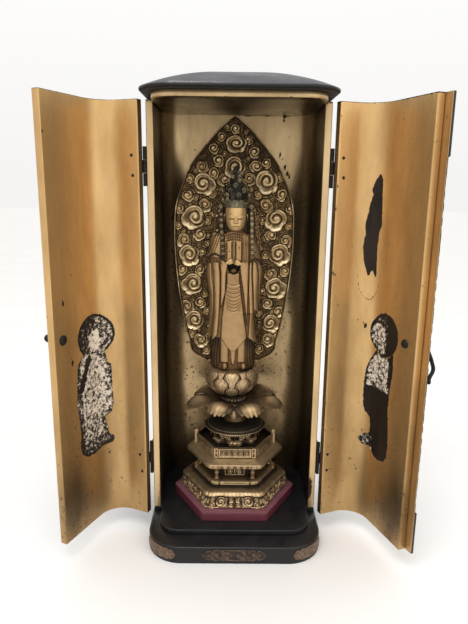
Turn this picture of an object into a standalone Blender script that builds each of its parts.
"""Household altar cabinet: a lacquered case with two curved doors, open, round a carved standing figure.

Metres, +Z up. X runs to the viewer's right and Y into the case. The hinge plane is Y = 0.
The origin is the centre of the plinth's underside between the hinge lines.
"""

import math

import bmesh
import bpy
import numpy as np
from mathutils import Vector
from mathutils.geometry import delaunay_2d_cdt

# Clearance between pieces that touch
GAP = 0.0003

# Case and doors: one rounded plan, half of it fixed, half of it doors
SHELL_HALF = 0.1033
SHELL_REAR_Y = 0.1158
SHELL_WALL = 0.0080
CORNER_RADIUS = 0.0374
DOOR_WALL = 0.0088
DOOR_STRAIGHT = 0.0235
DOOR_FRONT_Y = -(DOOR_STRAIGHT + CORNER_RADIUS)
DOOR_BOTTOM_Z = 0.0276
DOOR_TOP_Z = 0.5282
HINGE_END_GAP = 0.0010
MEETING_GAP = 0.0006
HINGE_X = 0.1055
LEFT_OPEN_DEGREES = 113.68
RIGHT_OPEN_DEGREES = 109.81

# Plinth, floor, ceiling and roof heights
PLINTH_HALF = 0.1056
PLINTH_FRONT_Y = -0.0711
PLINTH_REAR_Y = 0.1183
PLINTH_RADIUS = 0.0420
PLINTH_EDGE_Z = 0.0214
PLINTH_TOP_Z = 0.0238
FLOOR_TOP_Z = 0.0311
FLOOR_STEP_Y = -0.0004
SHELL_TOP_Z = 0.5287
CEILING_UNDER_Z = 0.5252
CEILING_TOP_Z = 0.5322
ROOF_RIM_Z = 0.5357
ROOF_SHOULDER_Z = 0.5370
ROOF_TOP_Z = 0.5606
ROOF_OVERHANG = 0.0030
BOARD_FRONT_Y = DOOR_FRONT_Y + DOOR_WALL + 0.0015
BOARD_FRONT_RADIUS = CORNER_RADIUS - DOOR_WALL - 0.0015

# Thin metal plates on the plinth
PLATE_LOW_Z = 0.0050
PLATE_HIGH_Z = 0.0188
PLATE_THICKNESS = 0.0007
FRONT_PLATE_HALF = 0.0375

# Butt hinges
HINGE_HEIGHT = 0.0435
HINGE_CENTRES_Z = (0.1010, 0.4575)
KNUCKLE_RADIUS = 0.0019
LEAF_LENGTH = 0.0125
LEAF_THICKNESS = 0.0008

# Closing strip, hook and stud
STRIP_OVERLAP = 0.0100
STRIP_THICKNESS = 0.0038
LIP_THICKNESS = 0.0018
LATCH_Z = 0.2710
PIN_X = 0.0195
STUD_X = -0.0147
EYE_OUT = 0.0182
HOOK_WIRE_RADIUS = 0.0021
HOOK_REST_DEGREES = 32.0

# Statue: its axis, and the tiers of the stand as (circumradius, bottom, top)
AXIS_Y = 0.0375
BOARD_RADIUS = 0.0808
BOARD_THICKNESS = 0.0118
FOOT_RADIUS = 0.0735
FOOT_TOP_Z = 0.0668
TRAY_RADIUS = 0.0556
TRAY_TOP_Z = 0.0727
WAIST_RADIUS = 0.0400
WAIST_TOP_Z = 0.0905
SLAB_RADIUS = 0.0645
SLAB_TOP_Z = 0.1030
RAILING_RADIUS = 0.0530
RAILING_TOP_Z = 0.1175
RAILING_FLOOR_Z = 0.1110
POST_TOP_Z = 0.1225
CLUSTER_RADIUS = 0.0320
CLUSTER_TOP_Z = 0.1287
DRAPE_RADIUS = 0.0398
DRAPE_TOP_Z = 0.1385
PETAL_HUB_TOP_Z = 0.1643
CALYX_RADIUS = 0.0165
CALYX_TOP_Z = 0.1728
BUD_X = -0.0048
BUD_TOP_Z = 0.2105
PETAL_BULGE = 0.0036
LEAF_ROOT_Z = 0.1600
# Leaves of the tier: angle from the front in degrees, length, width, lift, arch and drop.
LEAVES = ((-30, 0.0490, 0.036, 0.0011, 0.0098, 0.0090), (26, 0.0490, 0.036, 0.0006, 0.0098, 0.0090),
          (-76, 0.0655, 0.040, 0.0, 0.0105, 0.0085), (75, 0.0640, 0.040, 0.0003, 0.0105, 0.0085),
          (-122, 0.0620, 0.038, 0.0009, 0.0145, 0.0125), (121, 0.0600, 0.038, 0.0013, 0.0145, 0.0125),
          (-164, 0.0440, 0.026, 0.0002, 0.0120, 0.0100), (161, 0.0430, 0.026, 0.0005, 0.0120, 0.0100))

# Figure and crown
FIGURE_FOOT_X = -0.0045
FIGURE_HEAD_X = -0.0020
HEAD_CENTRE_Z = 0.4000
HEAD_TOP_Z = 0.4128
CROWN_TIP_Z = 0.4614

# Mandorla: the pointed board of cloud scrolls behind the figure
MANDORLA_X = -0.0036
MANDORLA_BASE_Z = 0.2030
MANDORLA_TIP_Z = 0.5215
MANDORLA_BASE_Y = 0.0840
MANDORLA_TIP_Y = 0.0765
MANDORLA_THICKNESS = 0.0052


def clear_scene():
    """Remove every object of the scene."""
    for obj in list(bpy.data.objects):
        bpy.data.objects.remove(obj, do_unlink=True)


def material(name, colour, roughness, metallic=0.0):
    """A Principled material of one colour."""
    made = bpy.data.materials.new(name)
    made.use_nodes = True
    shader = made.node_tree.nodes["Principled BSDF"]
    shader.inputs["Base Color"].default_value = (*colour, 1.0)
    shader.inputs["Roughness"].default_value = roughness
    shader.inputs["Metallic"].default_value = metallic
    made.diffuse_color = (*colour, 1.0)
    return made


def add_object(name, points, faces, finish, smooth=False):
    """One mesh object from points and faces, with its material."""
    mesh = bpy.data.meshes.new(name)
    mesh.from_pydata([tuple(point) for point in points], [], [tuple(face) for face in faces])
    mesh.update()
    if smooth:
        mesh.shade_smooth()
        mesh.set_sharp_from_angle(angle=math.radians(35))
    mesh.materials.append(finish)
    obj = bpy.data.objects.new(name, mesh)
    bpy.context.scene.collection.objects.link(obj)
    return obj


def loft_data(rings):
    """Points and faces of a closed body through rings of equal length, bottom first, counterclockwise."""
    rings = np.asarray(rings, float)
    levels, count = rings.shape[:2]
    points = rings.reshape(-1, 3)
    faces = []
    for level in range(levels - 1):
        for k in range(count):
            nxt = (k + 1) % count
            low, high = level * count, (level + 1) * count
            faces.append((low + k, low + nxt, high + nxt, high + k))
    faces.append(tuple(range(count - 1, -1, -1)))
    top = (levels - 1) * count
    faces.append(tuple(range(top, top + count)))
    return points, faces


def loft(name, rings, finish, smooth=False):
    """A closed body through rings, as an object."""
    points, faces = loft_data(rings)
    return add_object(name, points, faces, finish, smooth)


def extruded(name, plan, low, high, finish, smooth=False):
    """A plan outline carried straight up from one height to another."""
    return loft(name, [level_ring(plan, low), level_ring(plan, high)], finish, smooth)


def level_ring(plan, height):
    """A plan outline at one height, as points in space."""
    plan = np.asarray(plan, float)
    return np.column_stack([plan, np.full(len(plan), height)])


def box(name, low, high, finish):
    """A box between two corners."""
    plan = [(low[0], low[1]), (high[0], low[1]), (high[0], high[1]), (low[0], high[1])]
    return extruded(name, plan, low[2], high[2], finish)


def arc(centre, radius, start, end, steps):
    """Points along an arc, in degrees, both ends included."""
    angles = np.radians(np.linspace(start, end, steps + 1))
    return np.column_stack([centre[0] + radius * np.cos(angles), centre[1] + radius * np.sin(angles)])


def rounded_plan(half, front, rear, front_radius, rear_radius, steps=8):
    """A rectangle with rounded corners seen from above, counterclockwise from its front left."""
    return np.vstack([
        arc((-half + front_radius, front + front_radius), front_radius, 180, 270, steps),
        arc((half - front_radius, front + front_radius), front_radius, 270, 360, steps),
        arc((half - rear_radius, rear - rear_radius), rear_radius, 0, 90, steps),
        arc((-half + rear_radius, rear - rear_radius), rear_radius, 90, 180, steps),
    ])


def hidden_helper(obj):
    """Keep a helper shape out of the model."""
    obj.hide_render = True
    obj.display_type = "WIRE"
    return obj


def boolean(target, other, operation, solver="EXACT"):
    """Add a Boolean modifier with a helper shape."""
    modifier = target.modifiers.new(operation.title(), "BOOLEAN")
    modifier.operation = operation
    modifier.solver = solver
    modifier.object = hidden_helper(other)


def fused(name, shapes, finish, voxel, keep, smooth=True):
    """Overlapping closed shapes made one skin by a voxel remesh, then thinned to a share of its faces."""
    points, faces, offset = [], [], 0
    for shape_points, shape_faces in shapes:
        points.extend(shape_points)
        faces.extend(tuple(index + offset for index in face) for face in shape_faces)
        offset += len(shape_points)
    obj = add_object(name, points, faces, finish)
    remesh = obj.modifiers.new("Remesh", "REMESH")
    remesh.mode = "VOXEL"
    remesh.voxel_size = voxel
    remesh.use_smooth_shade = smooth
    thin = obj.modifiers.new("Decimate", "DECIMATE")
    thin.ratio = keep
    return obj


def hexagon(radius, per_side=1):
    """A hexagon with a flat side to the front, each side cut into equal lengths, counterclockwise."""
    turns = np.radians(np.arange(0, 360, 60))
    corners = list(zip(radius * np.cos(turns), radius * np.sin(turns)))
    plan = []
    for k, corner in enumerate(corners):
        following = corners[(k + 1) % 6]
        for step in range(per_side):
            share = step / per_side
            plan.append([corner[0] + (following[0] - corner[0]) * share,
                         AXIS_Y + corner[1] + (following[1] - corner[1]) * share])
    return np.array(plan)


def hexagon_rings(stations, per_side=1, wave=0.0):
    """Hexagonal rings through (radius, height) stations; a wave lifts the first ring's side middles."""
    rings = [level_ring(hexagon(radius, per_side), height) for radius, height in stations]
    share = np.arange(6 * per_side) % per_side / per_side
    rings[0][:, 2] += wave * np.sin(math.pi * share) ** 2
    return rings


def round_rings(stations, count, centre_x=0.0, lobes=0, depth=0.0):
    """Round rings through (radius, height) stations, with an optional lobed outline."""
    angles = np.linspace(0, 2 * math.pi, count, endpoint=False)
    rings = []
    for radius, height in stations:
        reach = radius * (1 + depth * np.cos(lobes * angles))
        rings.append(np.column_stack([centre_x + reach * np.cos(angles),
                                      AXIS_Y + reach * np.sin(angles),
                                      np.full(count, height)]))
    return rings


def smooth_values(stations, at):
    """Values between named stations, eased so that the curve has no corners."""
    keys = np.array([station[0] for station in stations], float)
    values = np.array([station[1] for station in stations], float)
    slopes = np.gradient(values, keys)
    at = np.clip(np.asarray(at, float), keys[0], keys[-1])
    k = np.clip(np.searchsorted(keys, at) - 1, 0, len(keys) - 2)
    width = keys[k + 1] - keys[k]
    t = (at - keys[k]) / width
    return (values[k] * (1 + 2 * t) * (1 - t) ** 2 + slopes[k] * width * t * (1 - t) ** 2
            + values[k + 1] * t * t * (3 - 2 * t) + slopes[k + 1] * width * t * t * (t - 1))


def build_plinth(finish):
    """The stepped base block, with a long shoulder in front of the doors."""
    def plan(side, front, rear):
        return rounded_plan(PLINTH_HALF - side, PLINTH_FRONT_Y + front, PLINTH_REAR_Y - rear,
                            PLINTH_RADIUS - side, PLINTH_RADIUS - side, steps=5)
    rings = [
        level_ring(plan(0.0006, 0.0006, 0.0006), 0.0),
        level_ring(plan(0.0, 0.0, 0.0), 0.0008),
        level_ring(plan(0.0, 0.0, 0.0), PLINTH_EDGE_Z - 0.0018),
        level_ring(plan(0.0004, 0.0010, 0.0004), PLINTH_EDGE_Z),
        level_ring(plan(0.0012, 0.0050, 0.0012), PLINTH_EDGE_Z + 0.0010),
        level_ring(plan(0.0022, 0.0130, 0.0022), PLINTH_TOP_Z),
    ]
    return loft("base_plinth", rings, finish, smooth=True)


def build_plinth_plates(finish):
    """Thin metal plates: one round each front corner of the plinth and one in the middle of its front."""
    inner = PLINTH_RADIUS + GAP
    outer = inner + PLATE_THICKNESS
    for side, name in ((-1, "corner_plate_left"), (1, "corner_plate_right")):
        centre = (side * (PLINTH_HALF - PLINTH_RADIUS), PLINTH_FRONT_Y + PLINTH_RADIUS)
        start, end = (192, 252) if side < 0 else (288, 348)
        plan = np.vstack([arc(centre, outer, start, end, 8), arc(centre, inner, end, start, 8)])
        extruded(name, plan, PLATE_LOW_Z, PLATE_HIGH_Z, finish, smooth=True)
    half, cut = FRONT_PLATE_HALF, 0.0050
    front = PLINTH_FRONT_Y - GAP
    outline = [(-half, PLATE_LOW_Z + cut), (-half + cut, PLATE_LOW_Z), (half - cut, PLATE_LOW_Z),
               (half, PLATE_LOW_Z + cut), (half, PLATE_HIGH_Z - cut), (half - cut, PLATE_HIGH_Z),
               (-half + cut, PLATE_HIGH_Z), (-half, PLATE_HIGH_Z - cut)]
    rings = [[(x, front, z) for x, z in outline], [(x, front - PLATE_THICKNESS, z) for x, z in outline]]
    loft("front_plate", rings, finish)


def build_boards(floor_finish, ceiling_finish):
    """The floor board, wider under the shell than in front, and the ceiling board."""
    half = SHELL_HALF - DOOR_WALL - 0.0015
    radius = BOARD_FRONT_RADIUS
    floor = np.vstack([
        arc((-half + radius, BOARD_FRONT_Y + radius), radius, 180, 270, 8),
        arc((half - radius, BOARD_FRONT_Y + radius), radius, 270, 360, 8),
        [(half, FLOOR_STEP_Y), (SHELL_HALF, FLOOR_STEP_Y)],
        arc((SHELL_HALF - CORNER_RADIUS, SHELL_REAR_Y - CORNER_RADIUS), CORNER_RADIUS, 0, 90, 8),
        arc((-SHELL_HALF + CORNER_RADIUS, SHELL_REAR_Y - CORNER_RADIUS), CORNER_RADIUS, 90, 180, 8),
        [(-SHELL_HALF, FLOOR_STEP_Y), (-half, FLOOR_STEP_Y)],
    ])
    extruded("floor_board", floor, PLINTH_TOP_Z + GAP, FLOOR_TOP_Z, floor_finish, smooth=True)
    ceiling = rounded_plan(half + 0.0007, BOARD_FRONT_Y, SHELL_REAR_Y - SHELL_WALL - GAP,
                           radius + 0.0007, CORNER_RADIUS - SHELL_WALL)
    extruded("ceiling_board", ceiling, CEILING_UNDER_Z, CEILING_TOP_Z, ceiling_finish, smooth=True)


def build_shell(finish):
    """The fixed rear half of the case: two sides and a back in one curved wall."""
    inner_half = SHELL_HALF - SHELL_WALL
    inner_radius = CORNER_RADIUS - SHELL_WALL
    centre_x, centre_y = SHELL_HALF - CORNER_RADIUS, SHELL_REAR_Y - CORNER_RADIUS
    plan = np.vstack([
        [(SHELL_HALF, 0.0)],
        arc((centre_x, centre_y), CORNER_RADIUS, 0, 90, 8),
        arc((-centre_x, centre_y), CORNER_RADIUS, 90, 180, 8),
        [(-SHELL_HALF, 0.0), (-inner_half, 0.0)],
        arc((-centre_x, centre_y), inner_radius, 180, 90, 8),
        arc((centre_x, centre_y), inner_radius, 90, 0, 8),
        [(inner_half, 0.0)],
    ])
    return extruded("rear_shell", plan, FLOOR_TOP_Z + GAP, SHELL_TOP_Z, finish, smooth=True)


def build_roof(finish):
    """The domed roof board: a cove, a rounded rim and a low dome, hollowed below for the ceiling board."""
    def plan(offset):
        return rounded_plan(SHELL_HALF + offset, DOOR_FRONT_Y - offset, SHELL_REAR_Y + offset,
                            CORNER_RADIUS + offset, CORNER_RADIUS + offset, steps=5)
    rings = [level_ring(plan(offset), height) for offset, height in (
        (0.0, SHELL_TOP_Z + GAP), (0.0012, 0.5312), (0.0026, 0.5330), (ROOF_OVERHANG, ROOF_RIM_Z),
        (0.0016, ROOF_SHOULDER_Z))]
    middle_y = (DOOR_FRONT_Y + SHELL_REAR_Y) / 2
    rim = rings[-1]
    rise = ROOF_TOP_Z - ROOF_SHOULDER_Z
    for share in (0.84, 0.58, 0.24):
        ring = rim.copy()
        ring[:, 0] *= share
        ring[:, 1] = middle_y + (ring[:, 1] - middle_y) * share
        ring[:, 2] = ROOF_SHOULDER_Z + rise * (1 - share ** 2.2)
        rings.append(ring)
    roof = loft("roof_cap", rings, finish, smooth=True)
    under = CEILING_TOP_Z + GAP
    front_cut = box("roof_front_cut", (-0.15, -0.10, 0.51), (0.15, -GAP, under), finish)
    half = SHELL_HALF - DOOR_WALL - 0.0008 + GAP
    pocket_plan = rounded_plan(half, -0.02, SHELL_REAR_Y - SHELL_WALL, 0.001, CORNER_RADIUS - SHELL_WALL)
    pocket = extruded("roof_pocket_cut", pocket_plan, 0.51, under, finish)
    boolean(roof, front_cut, "DIFFERENCE")
    boolean(roof, pocket, "DIFFERENCE")
    return roof


def hinge_axis(name, side, degrees):
    """An empty on a door's hinge line, turned to the open door."""
    axis = bpy.data.objects.new(name, None)
    axis.location = (side * HINGE_X, 0.0, 0.0)
    axis.rotation_euler = (0.0, 0.0, math.radians(degrees))
    bpy.context.scene.collection.objects.link(axis)
    return axis


def hang(obj, axis):
    """Attach a shape drawn in the closed pose to its hinge axis."""
    obj.parent = axis
    obj.location = (-axis.location[0], 0.0, 0.0)


def door_plan(side):
    """Plan of a closed door: straight side, rounded corner and flat front, counterclockwise."""
    corner = (-SHELL_HALF + CORNER_RADIUS, -DOOR_STRAIGHT)
    inner_radius = CORNER_RADIUS - DOOR_WALL
    plan = np.vstack([
        [(-SHELL_HALF, -HINGE_END_GAP)],
        arc(corner, CORNER_RADIUS, 180, 270, 10),
        [(-MEETING_GAP, DOOR_FRONT_Y), (-MEETING_GAP, DOOR_FRONT_Y + DOOR_WALL)],
        arc(corner, inner_radius, 270, 180, 10),
        [(-SHELL_HALF + DOOR_WALL, -HINGE_END_GAP)],
    ])
    if side > 0:
        plan = plan[::-1] * (-1, 1)
    return plan


def build_hinges(axes, finish):
    """Four butt hinges, each with a leaf on the case and a leaf on its door."""
    third = HINGE_HEIGHT / 3
    for side, word in ((-1, "left"), (1, "right")):
        for centre, level in zip(HINGE_CENTRES_Z, ("lower", "upper")):
            low = centre - HINGE_HEIGHT / 2
            for owner in ("case", "door"):
                toward = 1 if owner == "case" else -1
                face = side * (SHELL_HALF + GAP)
                back = side * (SHELL_HALF + GAP + LEAF_THICKNESS)
                edges_x = sorted((face, back))
                start, end = 0.0026, 0.0026 + LEAF_LENGTH
                edges_y = sorted((toward * start, toward * end))
                name = f"hinge_{owner}_{word}_{level}"
                leaf = box(name, (edges_x[0], edges_y[0], low),
                           (edges_x[1], edges_y[1], low + HINGE_HEIGHT), finish)
                knuckles = (0, 2) if owner == "case" else (1,)
                for k in knuckles:
                    bottom = low + k * third + (GAP if k else 0)
                    top = low + (k + 1) * third - (GAP if k < 2 else 0)
                    barrel = extruded(f"{name}_barrel_{k}", arc((side * HINGE_X, 0), KNUCKLE_RADIUS, 0, 315, 7),
                                      bottom, top, finish)
                    tab_y = sorted((toward * 0.0004, toward * (start + 0.0012)))
                    tab_x = sorted((side * (SHELL_HALF + GAP),
                                    side * (SHELL_HALF + GAP + LEAF_THICKNESS + 0.0003)))
                    tab = box(f"{name}_tab_{k}", (tab_x[0], tab_y[0], bottom),
                              (tab_x[1], tab_y[1], top), finish)
                    for helper in (barrel, tab):
                        boolean(leaf, helper, "UNION")
                        if owner == "door":
                            hang(helper, axes[side])
                if owner == "door":
                    hang(leaf, axes[side])


def turned(name, stations, origin, finish, sides=10):
    """A turned piece about an axis that runs out of the door's face, from (distance out, radius) stations."""
    rings = []
    for out, radius in stations:
        ring = arc((origin[0], origin[2]), radius, 0, 360 * (1 - 1 / sides), sides - 1)
        rings.append([(x, origin[1] - out, z) for x, z in ring])
    return loft(name, rings, finish, smooth=True)


def build_doors(axes, wood, metal):
    """Both doors with the closing strip, the ball stud, its rosette and the hook's pin."""
    for side, name in ((-1, "door_left"), (1, "door_right")):
        door = extruded(name, door_plan(side), DOOR_BOTTOM_Z, DOOR_TOP_Z, wood, smooth=True)
        hang(door, axes[side])
    outer = DOOR_FRONT_Y - GAP
    profile = [(MEETING_GAP + 0.0012, outer), (-STRIP_OVERLAP, outer), (-STRIP_OVERLAP, outer - STRIP_THICKNESS),
               (MEETING_GAP + 0.0012, outer - STRIP_THICKNESS)]
    worn = [(MEETING_GAP + 0.0012, outer), (-STRIP_OVERLAP + 0.0004, outer),
            (-STRIP_OVERLAP + 0.0004, outer - LIP_THICKNESS), (MEETING_GAP + 0.0012, outer - STRIP_THICKNESS)]
    broken_low, broken_high = 0.079, 0.4675
    stations = ((DOOR_BOTTOM_Z, profile), (broken_low - 0.004, profile), (broken_low, worn),
                (broken_high, worn), (broken_high + 0.0015, profile), (DOOR_TOP_Z, profile))
    rings = [level_ring(plan, height) for height, plan in stations]
    hang(loft("closing_strip", rings, wood), axes[1])
    stud = turned("latch_stud", ((GAP, 0.0040), (0.0014, 0.0034), (0.0022, 0.0018), (0.0066, 0.0018),
                                 (0.0080, 0.0036), (0.0112, 0.0048), (0.0144, 0.0036), (0.0160, 0.0012)),
                  (STUD_X, DOOR_FRONT_Y, LATCH_Z), metal, sides=12)
    hang(stud, axes[-1])
    inner = DOOR_FRONT_Y + DOOR_WALL
    rosette = turned("stud_rosette", ((-0.0030, 0.0014), (-0.0022, 0.0040), (-0.0010, 0.0056), (-GAP, 0.0058)),
                     (STUD_X, inner, LATCH_Z), metal)
    hang(rosette, axes[-1])
    clinch = turned("pin_clinch", ((-0.0036, 0.0014), (-0.0026, 0.0038), (-GAP, 0.0050)),
                    (PIN_X, inner, LATCH_Z), metal)
    hang(clinch, axes[1])
    head_out = EYE_OUT + HOOK_WIRE_RADIUS + 0.0004
    pin = turned("hook_pin", ((GAP, 0.0036), (0.0014, 0.0030), (0.0020, 0.0016), (head_out, 0.0016),
                              (head_out + 0.0006, 0.0034), (head_out + 0.0022, 0.0020)),
                 (PIN_X, DOOR_FRONT_Y, LATCH_Z), metal)
    hang(pin, axes[1])


def build_hook(axis, metal):
    """The iron latch hook on its pin: an eye, a shank clear of the strip and an end bent to the door."""
    steps, sides, ring_radius, wire = 10, 6, 0.0044, HOOK_WIRE_RADIUS
    centre = Vector((PIN_X, DOOR_FRONT_Y - EYE_OUT, LATCH_Z))
    tilt = math.radians(HOOK_REST_DEGREES)
    points, faces = [], []
    for k in range(steps):
        turn = 2 * math.pi * k / steps
        for j in range(sides):
            around = 2 * math.pi * j / sides
            reach = ring_radius + wire * math.cos(around)
            points.append(centre + Vector((reach * math.cos(turn), wire * math.sin(around),
                                           reach * math.sin(turn))))
            following, beside = (k + 1) % steps, (j + 1) % sides
            faces.append((k * sides + j, following * sides + j,
                          following * sides + beside, k * sides + beside))
    hook = add_object("latch_hook", points, faces, metal, smooth=True)
    route = ((0.0048, EYE_OUT), (0.0148, 0.0192), (0.0240, 0.0196), (0.0314, 0.0186), (0.0350, 0.0158),
             (0.0385, 0.0117), (0.0416, 0.0092), (0.0472, 0.0074))
    curve = bpy.data.curves.new("hook_shank", "CURVE")
    curve.dimensions = "3D"
    curve.bevel_depth = wire * 1.06
    curve.bevel_resolution = 1
    curve.use_fill_caps = True
    line = curve.splines.new("POLY")
    drops = np.linspace(route[0][0], route[-1][0], 11)
    outs = smooth_values(route, drops)
    line.points.add(len(drops) - 1)
    for point, drop, out in zip(line.points, drops, outs):
        point.co = (PIN_X - drop * math.sin(tilt), DOOR_FRONT_Y - out, LATCH_Z - drop * math.cos(tilt), 1.0)
    guide = bpy.data.objects.new("hook_shank_guide", curve)
    bpy.context.scene.collection.objects.link(guide)
    graph = bpy.context.evaluated_depsgraph_get()
    shank_mesh = bpy.data.meshes.new_from_object(guide.evaluated_get(graph))
    bpy.data.objects.remove(guide, do_unlink=True)
    body = bmesh.new()
    body.from_mesh(shank_mesh)
    bmesh.ops.remove_doubles(body, verts=body.verts, dist=0.00001)
    bmesh.ops.recalc_face_normals(body, faces=body.faces)
    body.to_mesh(shank_mesh)
    body.free()
    shank = bpy.data.objects.new("hook_shank", shank_mesh)
    bpy.context.scene.collection.objects.link(shank)
    boolean(hook, shank, "UNION")
    for obj in (hook, shank):
        hang(obj, axis)


def scroll_boss(centre_x, centre_z, radius, height, hand, count=8):
    """A snail-shell scroll standing out of a face: rings whose radius grows through one turn."""
    angles = np.linspace(0, 2 * math.pi, count, endpoint=False)
    growth = 0.74 + 0.26 * angles / (2 * math.pi)
    rings = []
    for share, rise in ((1.0, -1.0), (0.94, 1.0), (0.56, 1.0), (0.36, 0.1)):
        reach = radius * share * growth
        rings.append(np.column_stack([centre_x + hand * reach * np.cos(angles), np.full(count, -height * rise),
                                      centre_z + reach * np.sin(angles)]))
    if hand < 0:
        rings = [ring[::-1] for ring in rings]
    return rings


def turned_about_axis(rings, degrees, reach):
    """Carry rings drawn on a face at Y = 0 out to the tier's side at the given angle from the front."""
    angle = math.radians(degrees)
    moved = []
    for ring in np.asarray(rings, float):
        x, y = ring[:, 0], ring[:, 1] - reach
        moved.append(np.column_stack([x * math.cos(angle) - y * math.sin(angle),
                                      AXIS_Y + x * math.sin(angle) + y * math.cos(angle), ring[:, 2]]))
    return moved


def build_stand(red, gold, dark):
    """The hexagonal stand under the lotus, tier by tier from the red board up."""
    board_low = FLOOR_TOP_Z + GAP
    board_top = board_low + BOARD_THICKNESS
    extruded("statue_board", hexagon(BOARD_RADIUS), board_low, board_top, red)
    foot_low = board_top + GAP
    foot = loft("foot_tier", hexagon_rings((
        (FOOT_RADIUS, foot_low), (FOOT_RADIUS + 0.0008, foot_low + 0.0045),
        (FOOT_RADIUS - 0.0012, foot_low + 0.0150), (FOOT_RADIUS - 0.0075, FOOT_TOP_Z - 0.0012),
        (FOOT_RADIUS - 0.0140, FOOT_TOP_Z)), per_side=3, wave=0.0030), gold, smooth=True)
    face_reach = FOOT_RADIUS * math.cos(math.pi / 6) - 0.0010
    for degrees in (0, 60, -60):
        for hand in (-1, 1):
            rings = turned_about_axis(
                scroll_boss(hand * 0.0186, foot_low + 0.0125, 0.0072, 0.0022, hand=hand), degrees, face_reach)
            boolean(foot, loft(f"foot_scroll_{degrees}_{hand}", rings, gold), "UNION")
    tray_low = FOOT_TOP_Z + GAP
    loft("tray_tier", hexagon_rings((
        (TRAY_RADIUS - 0.0030, tray_low), (TRAY_RADIUS, tray_low + 0.0014), (TRAY_RADIUS, TRAY_TOP_Z - 0.0008),
        (TRAY_RADIUS - 0.0010, TRAY_TOP_Z)), per_side=2), gold, smooth=True)
    waist_low = TRAY_TOP_Z + GAP
    waist = loft("waist_tier", hexagon_rings(((WAIST_RADIUS, waist_low), (WAIST_RADIUS, WAIST_TOP_Z))), gold)
    for k in range(6):
        angle = math.radians(60 * k)
        x, y = 0.0455 * math.cos(angle), AXIS_Y + 0.0455 * math.sin(angle)
        plan = arc((x, y), 0.0034, math.degrees(angle) + 45, math.degrees(angle) + 315, 3)
        web = extruded(f"waist_post_{k}", plan, waist_low, WAIST_TOP_Z, gold)
        boolean(waist, web, "UNION")
        spoke = [(0.036, -0.0012), (0.0450, -0.0012), (0.0450, 0.0012), (0.036, 0.0012)]
        turned_spoke = [(px * math.cos(angle) - py * math.sin(angle),
                         AXIS_Y + px * math.sin(angle) + py * math.cos(angle)) for px, py in spoke]
        spoke_web = extruded(f"waist_spoke_{k}", turned_spoke, waist_low + 0.0004, WAIST_TOP_Z - 0.0004, gold)
        boolean(waist, spoke_web, "UNION")
    slab_low = WAIST_TOP_Z + GAP
    loft("flared_tier", hexagon_rings((
        (SLAB_RADIUS - 0.0145, slab_low), (SLAB_RADIUS - 0.0040, slab_low + 0.0045),
        (SLAB_RADIUS, slab_low + 0.0070), (SLAB_RADIUS, SLAB_TOP_Z - 0.0020),
        (SLAB_RADIUS - 0.0012, SLAB_TOP_Z)), per_side=2), gold, smooth=True)
    railing_low = SLAB_TOP_Z + GAP
    railing = loft("railing_tier", hexagon_rings((
        (RAILING_RADIUS, railing_low), (RAILING_RADIUS, RAILING_TOP_Z),
        (RAILING_RADIUS - 0.0035, RAILING_TOP_Z), (RAILING_RADIUS - 0.0035, RAILING_FLOOR_Z))), gold)
    for k in range(6):
        angle = math.radians(60 * k)
        reach = RAILING_RADIUS - 0.0018
        x, y = reach * math.cos(angle), AXIS_Y + reach * math.sin(angle)
        plan = arc((x, y), 0.0026, math.degrees(angle) + 45, math.degrees(angle) + 315, 3)
        boolean(railing, extruded(f"railing_post_{k}", plan, railing_low + 0.0004, POST_TOP_Z, gold), "UNION")
    cluster_low = RAILING_FLOOR_Z + GAP
    loft("cloud_cluster", round_rings((
        (0.0280, cluster_low), (CLUSTER_RADIUS, cluster_low + 0.0050), (0.0285, cluster_low + 0.0085),
        (CLUSTER_RADIUS + 0.0005, cluster_low + 0.0125), (0.0270, CLUSTER_TOP_Z)), 28, lobes=7, depth=0.07),
        dark, smooth=True)
    build_drape(dark)


def build_drape(finish):
    """The draped disc: a round cloth-like lid whose hem dips along each side of the hexagon."""
    low = CLUSTER_TOP_Z + GAP
    count = 30
    rings = round_rings(((0.0200, low), (DRAPE_RADIUS, low + 0.0012), (DRAPE_RADIUS - 0.0004, low + 0.0050),
                         (DRAPE_RADIUS - 0.0030, DRAPE_TOP_Z - 0.0010), (0.0240, DRAPE_TOP_Z)), count)
    angles = np.linspace(0, 2 * math.pi, count, endpoint=False)
    for ring in rings[1:2]:
        ring[:, 2] += 0.0016 * np.abs(np.sin(3 * angles + math.pi / 2)) ** 0.7 * np.cos(6 * angles)
        ring[:, 2] = np.maximum(ring[:, 2], low + 0.0002)
    return loft("draped_disc", rings, finish, smooth=True)


def petal_sheet(angle, length, width, lift, arch, drop, across=4, along=5):
    """A curled leaf: it rises from the hub by the arch and drops to a ragged tip, domed across."""
    s = np.linspace(0, 1, along)[:, None]
    t = np.linspace(-1, 1, across)[None, :]
    ragged = 1 - 0.10 * np.abs(t) ** 1.6 + 0.035 * np.cos(3 * math.pi * t)
    reach = 0.016 + (length - 0.016) * s * (1 + (ragged - 1) * s)
    spread = width / 2 * np.sin(math.pi * (0.14 + 0.70 * s)) ** 0.8 * t
    rise = LEAF_ROOT_Z + lift + arch * np.sin(0.78 * math.pi * s) - drop * s ** 5 - 0.0050 * s * t ** 2
    thickness = 0.0030 - 0.0012 * s
    top = np.stack([reach + 0 * t, spread + 0 * s, rise + thickness / 2 + 0 * t], axis=-1)
    under = np.stack([reach + 0 * t, spread + 0 * s, rise - thickness / 2 + 0 * t], axis=-1)
    grid = np.stack([top, under])
    turn = math.radians(angle)
    x = grid[..., 0] * math.sin(turn) + grid[..., 1] * math.cos(turn)
    y = AXIS_Y - grid[..., 0] * math.cos(turn) + grid[..., 1] * math.sin(turn)
    grid = np.stack([x, y, grid[..., 2]], axis=-1)
    return sheet_faces(grid)


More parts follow.
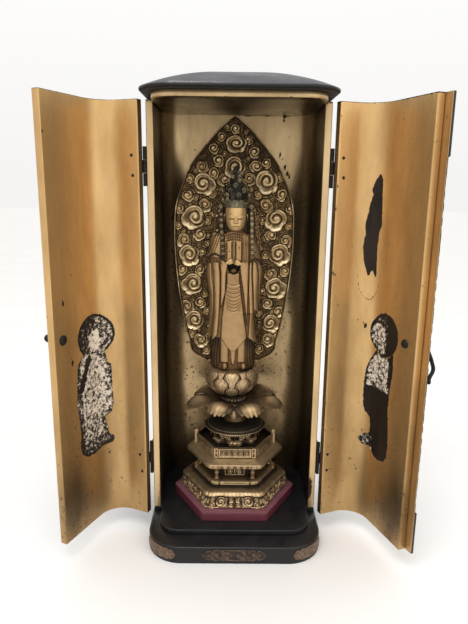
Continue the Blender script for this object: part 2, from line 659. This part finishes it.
def sheet_faces(grid):
    """Close a sheet given as top and under grids of points: both skins and the rim between them."""
    _, rows, columns = grid.shape[:3]
    points = grid.reshape(-1, 3)

    def index(layer, i, j):
        return layer * rows * columns + i * columns + j

    faces = []
    for i in range(rows - 1):
        for j in range(columns - 1):
            faces.append((index(0, i, j), index(0, i + 1, j), index(0, i + 1, j + 1), index(0, i, j + 1)))
            faces.append((index(1, i, j), index(1, i, j + 1), index(1, i + 1, j + 1), index(1, i + 1, j)))
    for j in range(columns - 1):
        faces.append((index(0, 0, j), index(0, 0, j + 1), index(1, 0, j + 1), index(1, 0, j)))
        end = rows - 1
        faces.append((index(0, end, j + 1), index(0, end, j), index(1, end, j), index(1, end, j + 1)))
    for i in range(rows - 1):
        end = columns - 1
        faces.append((index(0, i + 1, 0), index(0, i, 0), index(1, i, 0), index(1, i + 1, 0)))
        faces.append((index(0, i, end), index(0, i + 1, end), index(1, i + 1, end), index(1, i, end)))
    return points, faces


def build_lotus(gold, dark):
    """The tier of wide curled leaves on its spindle, the carved ring and the lotus bud."""
    tier = loft("petal_tier", round_rings((
        (0.0150, DRAPE_TOP_Z + GAP), (0.0130, DRAPE_TOP_Z + 0.0060), (0.0150, 0.1530), (0.0215, 0.1585),
        (0.0215, PETAL_HUB_TOP_Z)), 20), gold)
    for angle, length, width, lift, arch, drop in LEAVES:
        leaf = add_object(f"petal_{angle}", *petal_sheet(angle, length, width, lift, arch, drop), gold)
        boolean(tier, leaf, "UNION", solver="MANIFOLD")
    loft("calyx_ring", round_rings((
        (CALYX_RADIUS - 0.0020, PETAL_HUB_TOP_Z + 0.0009), (CALYX_RADIUS, PETAL_HUB_TOP_Z + 0.0030),
        (CALYX_RADIUS - 0.0012, PETAL_HUB_TOP_Z + 0.0055), (CALYX_RADIUS - 0.0030, CALYX_TOP_Z)),
        20, centre_x=-0.0022), dark, smooth=True)
    build_bud(gold)


def bud_relief(angle, height, rows):
    """How far overlapping petals stand out of the bud, lower rows over upper ones, at an angle and height."""
    relief = np.zeros(np.broadcast(angle, height).shape)
    for row, (low, high, count, lift) in enumerate(rows):
        phase = ((row + 1) % 2) * math.pi / count
        turned = angle + phase + math.pi / count + math.pi / 2
        across = np.mod(turned, 2 * math.pi / count) * count / math.pi - 1
        along = (height - low) / (high - low)
        inside = (along < 1) & (along > -1) & (np.abs(across) < np.sqrt(np.clip(1 - along ** 2, 0, 1)) ** 0.7)
        body = lift + PETAL_BULGE * (1 - across ** 2) * np.sqrt(np.clip(1 - along ** 2, 0, 1))
        relief = np.where(inside, np.maximum(relief, body), relief)
    return relief


def build_bud(finish):
    """The lotus bud: a turned core with rows of overlapping rounded petals."""
    count = 40
    low = CALYX_TOP_Z + GAP
    angles = np.linspace(0, 2 * math.pi, count, endpoint=False)
    profile = ((0.0, 0.0140), (0.12, 0.0225), (0.28, 0.0290), (0.50, 0.0328), (0.72, 0.0330), (0.90, 0.0315),
               (1.0, 0.0298))
    rows = ((0.62, 1.02, 8, 0.0), (0.34, 0.80, 8, 0.0006), (0.08, 0.54, 8, 0.0010),
            (-0.14, 0.30, 8, 0.0012))
    rings = []
    for share in (0.0, 0.09, 0.20, 0.30, 0.41, 0.53, 0.65, 0.78, 0.91, 1.0):
        reach = smooth_values(profile, share) + bud_relief(angles, np.full(count, share), rows) * (share < 1)
        rings.append(np.column_stack([BUD_X + reach * np.cos(angles), AXIS_Y + reach * np.sin(angles),
                                      np.full(count, low + (BUD_TOP_Z - low) * share)]))
    return loft("lotus_bud", rings, finish, smooth=True)


def mandorla_half_width(z):
    """Half the width of the mandorla at a height: a flame-tipped almond."""
    stations = ((0.2030, 0.0330), (0.2120, 0.0505), (0.2340, 0.0596), (0.2800, 0.0695), (0.3300, 0.0758),
                (0.3780, 0.0778), (0.4160, 0.0745), (0.4365, 0.0678), (0.4630, 0.0556), (0.4880, 0.0359),
                (0.5100, 0.0155), (0.5215, 0.0012))
    return smooth_values(stations, z)


def mandorla_face_y(z):
    """Depth of the mandorla's front face at a height: it leans forward towards its tip."""
    share = (np.asarray(z, float) - MANDORLA_BASE_Z) / (MANDORLA_TIP_Z - MANDORLA_BASE_Z)
    return MANDORLA_BASE_Y + (MANDORLA_TIP_Y - MANDORLA_BASE_Y) * share


def cloud_scrolls():
    """Places of the cloud scrolls as (x from the middle, z, radius), in rows that follow the rim."""
    found = []
    for row in range(5):
        z = 0.2605 + 0.0451 * row
        large_x = float(mandorla_half_width(z)) - 0.0215
        between = z + 0.0226
        edge = float(mandorla_half_width(between)) - 0.0105
        for side in (-1, 1):
            found.append((side * large_x, z, 0.0112))
            found.append((side * edge, between, 0.0058))
            found.append((side * (edge - 0.0200), between - 0.0020, 0.0052))
    for side in (-1, 1):
        found.append((side * 0.0445, 0.2330, 0.0072))
        found.append((side * 0.0180, 0.4700, 0.0078))
    found.append((0.0, 0.4930, 0.0110))
    return found


def build_mandorla(finish):
    """The mandorla: an almond board with a raised rim and cloud scrolls, and the tenon it stands on."""
    heights = np.concatenate([[MANDORLA_BASE_Z, 0.2060, 0.2120, 0.2220], np.linspace(0.2340, 0.4880, 8),
                              [0.5000, 0.5110, MANDORLA_TIP_Z]])
    half = mandorla_half_width(heights)
    right = [(half[k], heights[k]) for k in range(len(heights))]
    left = [(-half[k], heights[k]) for k in range(len(heights) - 1, -1, -1)]
    outline = right + left
    middle = np.array([0.0, 0.365])
    plane, lift, rings = [], [], []

    def add_ring(loop, rise):
        start = len(plane)
        plane.extend(loop)
        lift.extend([rise] * len(loop))
        rings.append([start + k for k in range(len(loop))])

    add_ring([tuple(point) for point in outline], 0.0)
    add_ring([tuple(middle + (np.array(point) - middle) * 0.982) for point in outline], 0.0016)
    add_ring([tuple(middle + (np.array(point) - middle) * 0.958) for point in outline], 0.0)
    for x, z, radius in cloud_scrolls():
        large = ((1.0, 0.0002, 10, 0.12), (0.84, 0.0028, 10, 0.10), (0.46, 0.0010, 5, 0.0))
        small = ((1.0, 0.0002, 6, 0.0), (0.62, 0.0024, 4, 0.0))
        hand = 1 if x < 0 else -1
        for share, rise, count, lobes in large if radius > 0.0080 else small:
            angles = hand * np.arange(count) * 2 * math.pi / count
            growth = 0.80 + 0.20 * np.abs(angles) / (2 * math.pi)
            reach = radius * share * (1 + lobes * np.cos(5 * angles)) * growth
            add_ring([(x + reach[k] * math.cos(angles[k]), z + reach[k] * math.sin(angles[k]))
                      for k in range(count)], rise)
        plane.append((x, z))
        lift.append(0.0030)
    edges = [(loop[k], loop[(k + 1) % len(loop)]) for loop in rings for k in range(len(loop))]
    found, _, triangles, origins, _, _ = delaunay_2d_cdt(
        [Vector(point) for point in plane], edges, [tuple(rings[0])], 1, 1e-6)
    height_of = [max((lift[k] for k in origin), default=0.0) for origin in origins]
    edge_points = {k for k, origin in enumerate(origins) if any(o < len(outline) for o in origin)}
    face_depth = mandorla_face_y([point[1] for point in found])
    front = [(MANDORLA_X + point[0], float(face_depth[k]) - height_of[k], point[1])
             for k, point in enumerate(found)]
    order = sorted(edge_points, key=lambda k: min(o for o in origins[k] if o < len(outline)))
    back_start = len(front)
    points = front + [(front[k][0], front[k][1] + MANDORLA_THICKNESS, front[k][2]) for k in order]
    faces = [tuple(face) for face in triangles]
    count = len(order)
    for k in range(count):
        following = (k + 1) % count
        faces.append((order[following], order[k], back_start + k, back_start + following))
    faces.append(tuple(back_start + k for k in range(count)))
    board = add_object("mandorla", points, faces, finish)
    body = bmesh.new()
    body.from_mesh(board.data)
    bmesh.ops.recalc_face_normals(body, faces=body.faces)
    body.to_mesh(board.data)
    body.free()
    tenon = box("mandorla_tenon", (MANDORLA_X - 0.0080, 0.0850, SLAB_TOP_Z + GAP),
                (MANDORLA_X + 0.0080, 0.0888, 0.2400), finish)
    boolean(board, tenon, "UNION")
    return board


def body_line(z):
    """Sideways place of the figure's middle line at a height."""
    share = (np.asarray(z, float) - BUD_TOP_Z) / (HEAD_CENTRE_Z - BUD_TOP_Z)
    return FIGURE_FOOT_X + (FIGURE_HEAD_X - FIGURE_FOOT_X) * share


def folded_rings(stations, count, folds, fold_depth, lean=0.0):
    """Upright rings through (z, x, y, half width, half depth) stations, with drapery folds down the cloth."""
    angles = np.linspace(0, 2 * math.pi, count, endpoint=False)
    rings = []
    for z, x, y, half_width, half_depth in stations:
        wave = 1 + fold_depth / half_width * np.cos(folds * angles + lean * z)
        rings.append(np.column_stack([body_line(z) + x + half_width * wave * np.cos(angles),
                                      AXIS_Y + y + half_depth * wave * np.sin(angles),
                                      np.full(count, z)]))
    return rings


def limb(points, radii, count=10, flatten=1.0):
    """A tube through points with a radius at each, closed at both ends."""
    points = [np.array(point, float) for point in points]
    rings = []
    for k, (point, radius) in enumerate(zip(points, radii)):
        ahead = points[min(k + 1, len(points) - 1)] - points[max(k - 1, 0)]
        ahead /= np.linalg.norm(ahead)
        side = np.cross(ahead, (0.0, 1.0, 0.0))
        side /= np.linalg.norm(side)
        up = np.cross(side, ahead)
        angles = np.linspace(0, 2 * math.pi, count, endpoint=False)
        rings.append([point + radius * (math.cos(a) * side + flatten * math.sin(a) * up) for a in angles])
    return loft_data(rings)


def figure_shapes():
    """Closed shapes that together make the robed figure, from the feet up."""
    shapes = []
    skirt = ((0.2136, 0, 0, 0.0262, 0.0165), (0.2200, 0, 0, 0.0262, 0.0168), (0.2330, 0, 0, 0.0245, 0.0160),
             (0.2500, 0, 0, 0.0225, 0.0155), (0.2800, 0, 0, 0.0210, 0.0150), (0.3150, 0, 0, 0.0200, 0.0150),
             (0.3350, 0, 0, 0.0200, 0.0150), (0.3500, 0, 0, 0.0215, 0.0150), (0.3650, 0, 0, 0.0240, 0.0140),
             (0.3760, 0, 0, 0.0235, 0.0125), (0.3830, 0, 0, 0.0130, 0.0090), (0.3860, 0, 0, 0.0070, 0.0070))
    shapes.append(loft_data(folded_rings(skirt, 72, 18, 0.0009)))
    apron = ((0.2355, 0, -0.0135, 0.0012, 0.0050), (0.2510, 0, -0.0130, 0.0158, 0.0058),
             (0.2800, 0, -0.0110, 0.0125, 0.0070), (0.3100, 0, -0.0100, 0.0100, 0.0080),
             (0.3350, 0, -0.0095, 0.0085, 0.0075))
    shapes.append(loft_data(folded_rings(apron, 24, 0, 0.0)))
    for side in (-1, 1):
        sleeve = (
            (0.2440, side * 0.0215, -0.0060, 0.0070, 0.0070), (0.2600, side * 0.0215, -0.0060, 0.0085, 0.0085),
            (0.2900, side * 0.0215, -0.0065, 0.0095, 0.0100), (0.3150, side * 0.0220, -0.0070, 0.0105, 0.0110),
            (0.3350, side * 0.0225, -0.0075, 0.0115, 0.0115), (0.3480, side * 0.0220, -0.0060, 0.0095, 0.0100))
        shapes.append(loft_data(folded_rings(sleeve, 40, 7, 0.0011)))
        base = float(body_line(0.35))
        arm = [(base + side * out, AXIS_Y + y, z) for out, y, z in (
            (0.0215, 0.0020, 0.3740), (0.0285, 0.0, 0.3560), (0.0285, -0.0050, 0.3420),
            (0.0180, -0.0150, 0.3430), (0.0060, -0.0210, 0.3490))]
        shapes.append(limb(arm, (0.0078, 0.0085, 0.0082, 0.0068, 0.0048)))
        foot_x = FIGURE_FOOT_X + side * 0.0125
        shapes.append(limb([(foot_x, AXIS_Y - 0.0265, 0.2152), (foot_x, AXIS_Y - 0.0235, 0.2165),
                            (foot_x, AXIS_Y - 0.0160, 0.2180), (foot_x, AXIS_Y - 0.0020, 0.2185)],
                           (0.0032, 0.0044, 0.0050, 0.0050), flatten=1.2))
    base = float(body_line(0.35))
    hands = [(base, AXIS_Y - 0.0215, 0.3440), (base, AXIS_Y - 0.0225, 0.3520), (base, AXIS_Y - 0.0215, 0.3600)]
    shapes.append(limb(hands, (0.0042, 0.0048, 0.0020)))
    head_x = FIGURE_HEAD_X
    neck = [(head_x, AXIS_Y - 0.001, 0.3800), (head_x, AXIS_Y - 0.002, 0.3900)]
    shapes.append(limb(neck, (0.0070, 0.0064), 14))
    head = ((0.3826, 0.0030), (0.3845, 0.0065), (0.3880, 0.0096), (0.3940, 0.0119), (0.4010, 0.0128),
            (0.4080, 0.0129), (HEAD_TOP_Z, 0.0124))
    rings = []
    angles = np.linspace(0, 2 * math.pi, 24, endpoint=False)
    for z, half_width in head:
        half_depth = half_width * 1.16
        rings.append(np.column_stack([head_x + half_width * np.cos(angles),
                                      AXIS_Y - 0.0030 + half_depth * np.sin(angles), np.full(24, z)]))
    shapes.append(loft_data(rings))
    for side in (-1, 1):
        lock = [(head_x + side * out, AXIS_Y + y, z) for out, y, z in (
            (0.0128, -0.0010, 0.4100), (0.0146, -0.0020, 0.3980), (0.0150, -0.0040, 0.3860),
            (0.0160, -0.0075, 0.3740))]
        shapes.append(limb(lock, (0.0028, 0.0034, 0.0034, 0.0022)))
    return shapes


def build_figure(finish, metal):
    """The standing figure, and the tall openwork crown it wears."""
    fused("figure", figure_shapes(), finish, voxel=0.0009, keep=0.0145)
    count = 16
    angles = np.linspace(0, 2 * math.pi, count, endpoint=False)
    crown = ((HEAD_TOP_Z + 0.0006, 0.0142), (0.4180, 0.0150), (0.4215, 0.0168), (0.4268, 0.0180),
             (0.4360, 0.0112), (0.4480, 0.0062), (CROWN_TIP_Z, 0.0008))
    rings = []
    for z, radius in crown:
        openwork = 1 + 0.07 * np.cos(8 * angles) * (z > 0.4200)
        rings.append(np.column_stack([FIGURE_HEAD_X + radius * openwork * np.cos(angles),
                                      AXIS_Y - 0.0030 + radius * openwork * np.sin(angles), np.full(count, z)]))
    loft("crown", rings, metal, smooth=True)


def main():
    """Build every piece of the cabinet."""
    clear_scene()
    lacquer = material("black lacquer", (0.012, 0.012, 0.013), 0.35)
    gilt_wood = material("gilt lacquer", (0.45, 0.27, 0.09), 0.40, 0.6)
    gold = material("worn gilding", (0.42, 0.27, 0.11), 0.45, 0.6)
    dark_gold = material("darkened gilding", (0.10, 0.07, 0.04), 0.5, 0.4)
    red = material("wine red lacquer", (0.16, 0.02, 0.03), 0.45)
    bronze = material("worn bronze plate", (0.16, 0.11, 0.08), 0.5, 0.7)
    iron = material("dark iron", (0.03, 0.028, 0.027), 0.5, 0.8)
    crown_metal = material("tarnished copper", (0.05, 0.055, 0.04), 0.5, 0.7)
    build_plinth(lacquer)
    build_plinth_plates(bronze)
    build_boards(lacquer, gilt_wood)
    build_shell(gilt_wood)
    build_roof(lacquer)
    axes = {-1: hinge_axis("door_left_axis", -1, -LEFT_OPEN_DEGREES),
            1: hinge_axis("door_right_axis", 1, RIGHT_OPEN_DEGREES)}
    build_doors(axes, gilt_wood, iron)
    build_hinges(axes, iron)
    build_hook(axes[1], iron)
    build_stand(red, gold, dark_gold)
    build_lotus(gold, dark_gold)
    build_mandorla(gold)
    build_figure(gold, crown_metal)


main()
